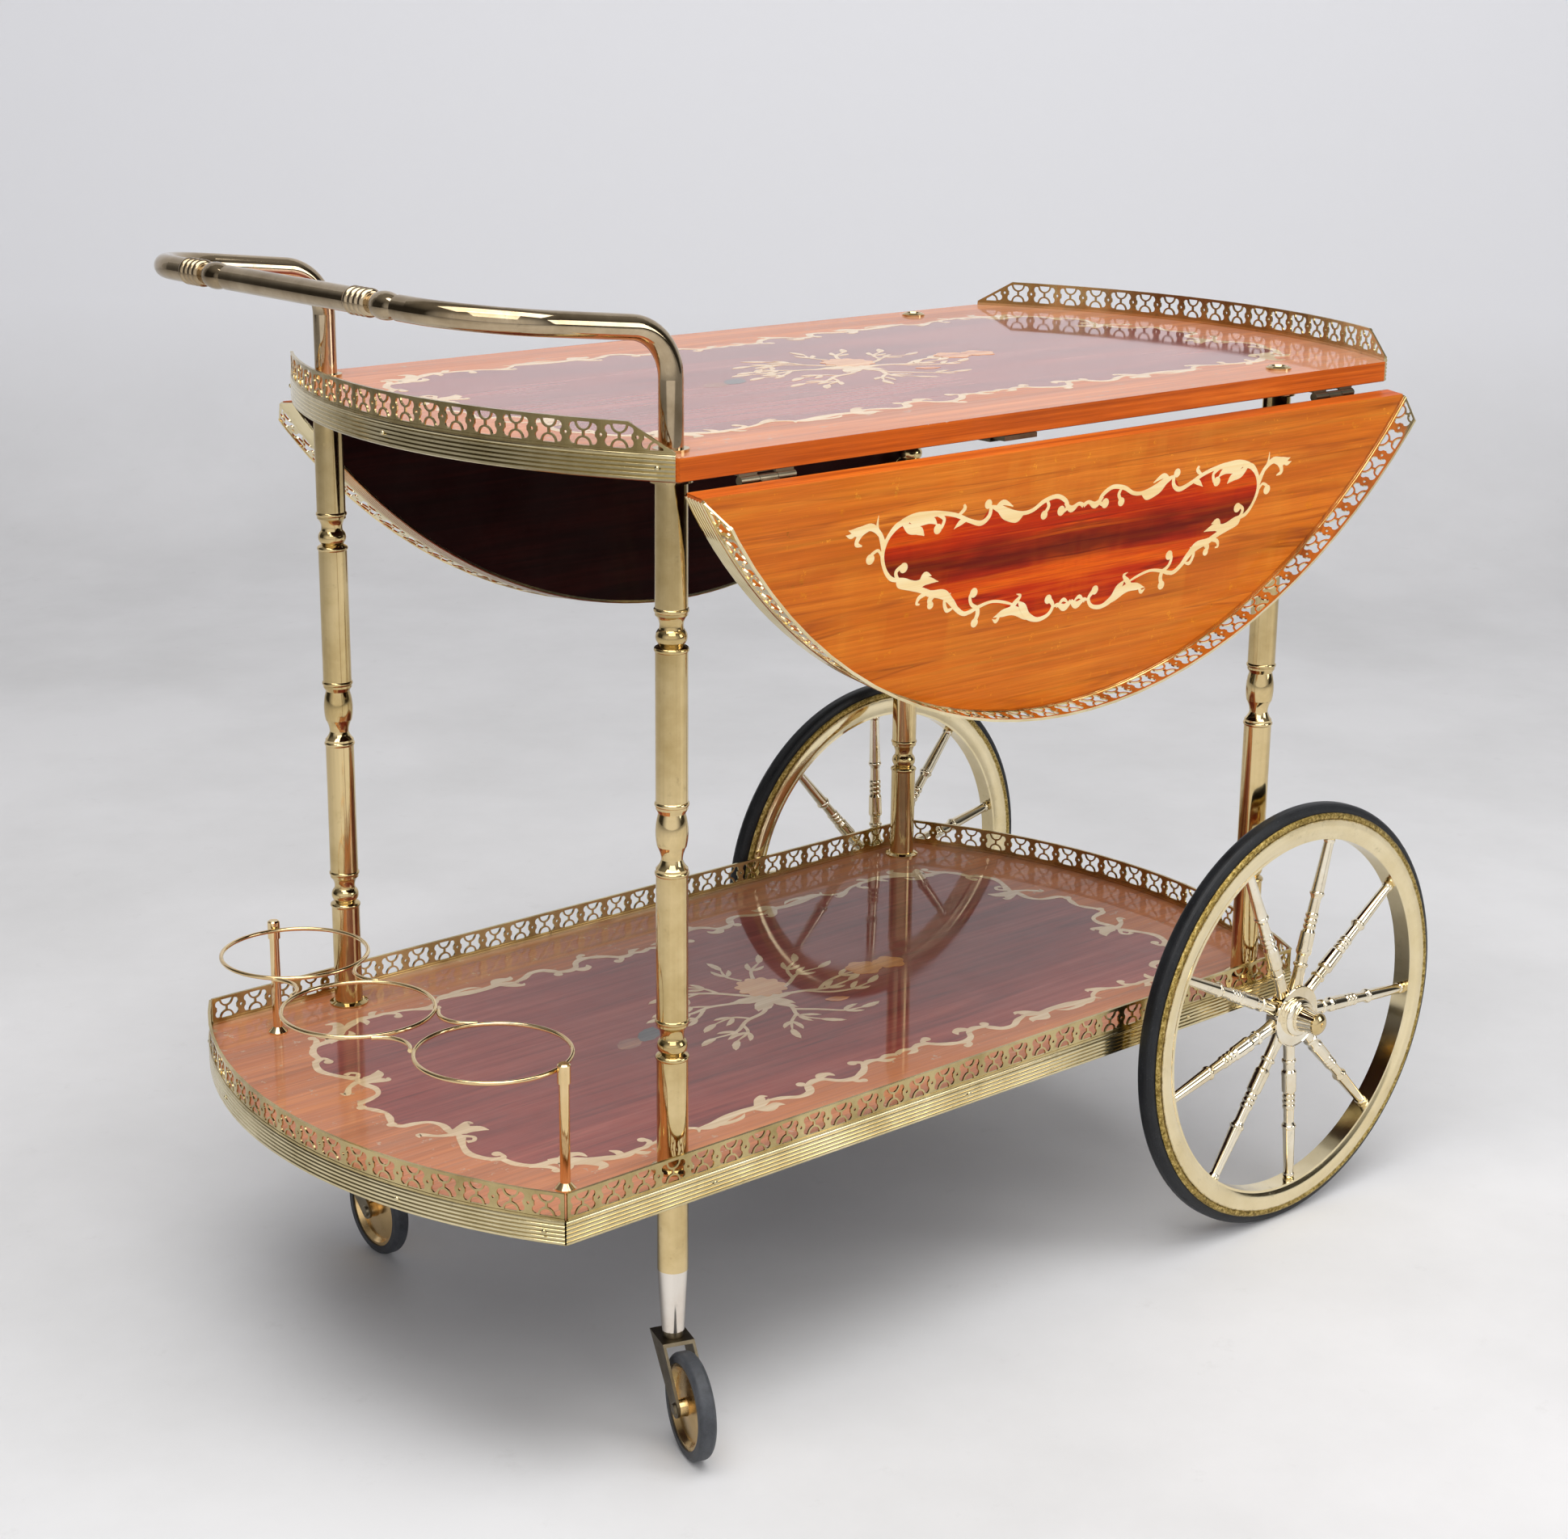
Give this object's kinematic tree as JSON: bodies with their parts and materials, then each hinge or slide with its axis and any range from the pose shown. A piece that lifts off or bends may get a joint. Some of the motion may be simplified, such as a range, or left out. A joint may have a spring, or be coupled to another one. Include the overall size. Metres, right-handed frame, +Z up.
{
  "type": "food service trolley",
  "caption": "Brass-framed two-shelf tea trolley with bowed marquetry boards, hanging drop leaves, pierced galleries, bottle rings, push handle, spoked rear wheels and swivel casters.",
  "frame": {"origin": "on the floor under the middle of the trolley's bounding box", "axes": "+X from the push handle towards the big wheels, +Y from the near leaf to the far leaf, +Z up"},
  "size_m": [0.9335, 0.5482, 0.775],
  "materials": {
    "brass": "polished",
    "veneer": "high-gloss lacquered marquetry",
    "rubber": "matte"
  },
  "bodies": {
    "trolley": {"top_board": "veneer", "lower_board": "veneer", "top_rail_handle_end": "brass", "top_rail_wheel_end": "brass", "top_gallery_handle_end": "brass", "top_gallery_wheel_end": "brass", "lower_rail_handle_end": "brass", "lower_rail_wheel_end": "brass", "lower_rail_sides": "brass", "lower_gallery_handle_end": "brass", "lower_gallery_wheel_end": "brass", "lower_gallery_sides": "brass", "post_handle_near": "brass", "post_handle_far": "brass", "post_wheel_near": "brass", "post_wheel_far": "brass", "post_collars": "brass", "post_base_flanges": "brass", "shelf_nuts": "brass", "post_caps": "brass", "ferrules": "brass", "handle": "brass", "hinge_board_halves": "brass", "support_guides": "brass", "bottle_ring_near": "brass", "bottle_ring_middle": "brass", "bottle_ring_far": "brass", "ring_links": "brass", "ring_stems": "brass", "wheel_axle": "brass", "axle_caps": "brass", "axle_brackets": "brass", "caster_stems": "brass", "rail_nails": "brass"},
    "leaf_near": {"leaf_near_board": "veneer", "leaf_near_rail": "brass", "leaf_near_gallery": "brass", "leaf_near_hinge_plates": "brass"},
    "support_near": {"support_bar_near": "brass"},
    "big_wheel_near": {"wheel_near_tyre": "rubber", "wheel_near_rim": "brass", "wheel_near_spokes": "brass", "wheel_near_hub": "brass"},
    "caster_near": {"caster_near_fork": "brass", "caster_near_rivet": "brass"},
    "caster_wheel_near": {"caster_near_disc": "brass", "caster_near_tyre": "rubber"},
    "leaf_far": {"leaf_far_board": "veneer", "leaf_far_rail": "brass", "leaf_far_gallery": "brass", "leaf_far_hinge_plates": "brass"},
    "support_far": {"support_bar_far": "brass"},
    "big_wheel_far": {"wheel_far_tyre": "rubber", "wheel_far_rim": "brass", "wheel_far_spokes": "brass", "wheel_far_hub": "brass"},
    "caster_far": {"caster_far_fork": "brass", "caster_far_rivet": "brass"},
    "caster_wheel_far": {"caster_far_disc": "brass", "caster_far_tyre": "rubber"}
  },
  "joints": [
    {"name": "leaf_near_hinge", "type": "hinge", "parent": "trolley", "child": "leaf_near", "pos_m": [0.04002, -0.222, 0.6555], "axis": [-1, 0, 0], "range_deg": [0, 97]},
    {"name": "support_near_slide", "type": "slide", "parent": "trolley", "child": "support_near", "axis": [0, -1, 0], "range_m": [0, 0.12]},
    {"name": "wheel_near_spin", "type": "hinge", "parent": "trolley", "child": "big_wheel_near", "pos_m": [0.29533, -0.24, 0.1714], "axis": [0, 1, 0], "continuous": true},
    {"name": "caster_near_swivel", "type": "hinge", "parent": "trolley", "child": "caster_near", "pos_m": [-0.29247, -0.198, 0.07], "axis": [0, 0, 1], "continuous": true},
    {"name": "caster_near_spin", "type": "hinge", "parent": "caster_near", "child": "caster_wheel_near", "pos_m": [-0.30326, -0.23024, 0.0365], "axis": [0.9483, -0.3173, 0], "continuous": true},
    {"name": "leaf_far_hinge", "type": "hinge", "parent": "trolley", "child": "leaf_far", "pos_m": [0.04002, 0.222, 0.6555], "axis": [1, 0, 0], "range_deg": [0, 97]},
    {"name": "support_far_slide", "type": "slide", "parent": "trolley", "child": "support_far", "axis": [0, 1, 0], "range_m": [0, 0.12]},
    {"name": "wheel_far_spin", "type": "hinge", "parent": "trolley", "child": "big_wheel_far", "pos_m": [0.29533, 0.24, 0.1714], "axis": [0, 1, 0], "continuous": true},
    {"name": "caster_far_swivel", "type": "hinge", "parent": "trolley", "child": "caster_far", "pos_m": [-0.29247, 0.198, 0.07], "axis": [0, 0, 1], "continuous": true},
    {"name": "caster_far_spin", "type": "hinge", "parent": "caster_far", "child": "caster_wheel_far", "pos_m": [-0.29366, 0.16402, 0.0365], "axis": [0.9994, -0.0349, 0], "continuous": true}
  ]
}
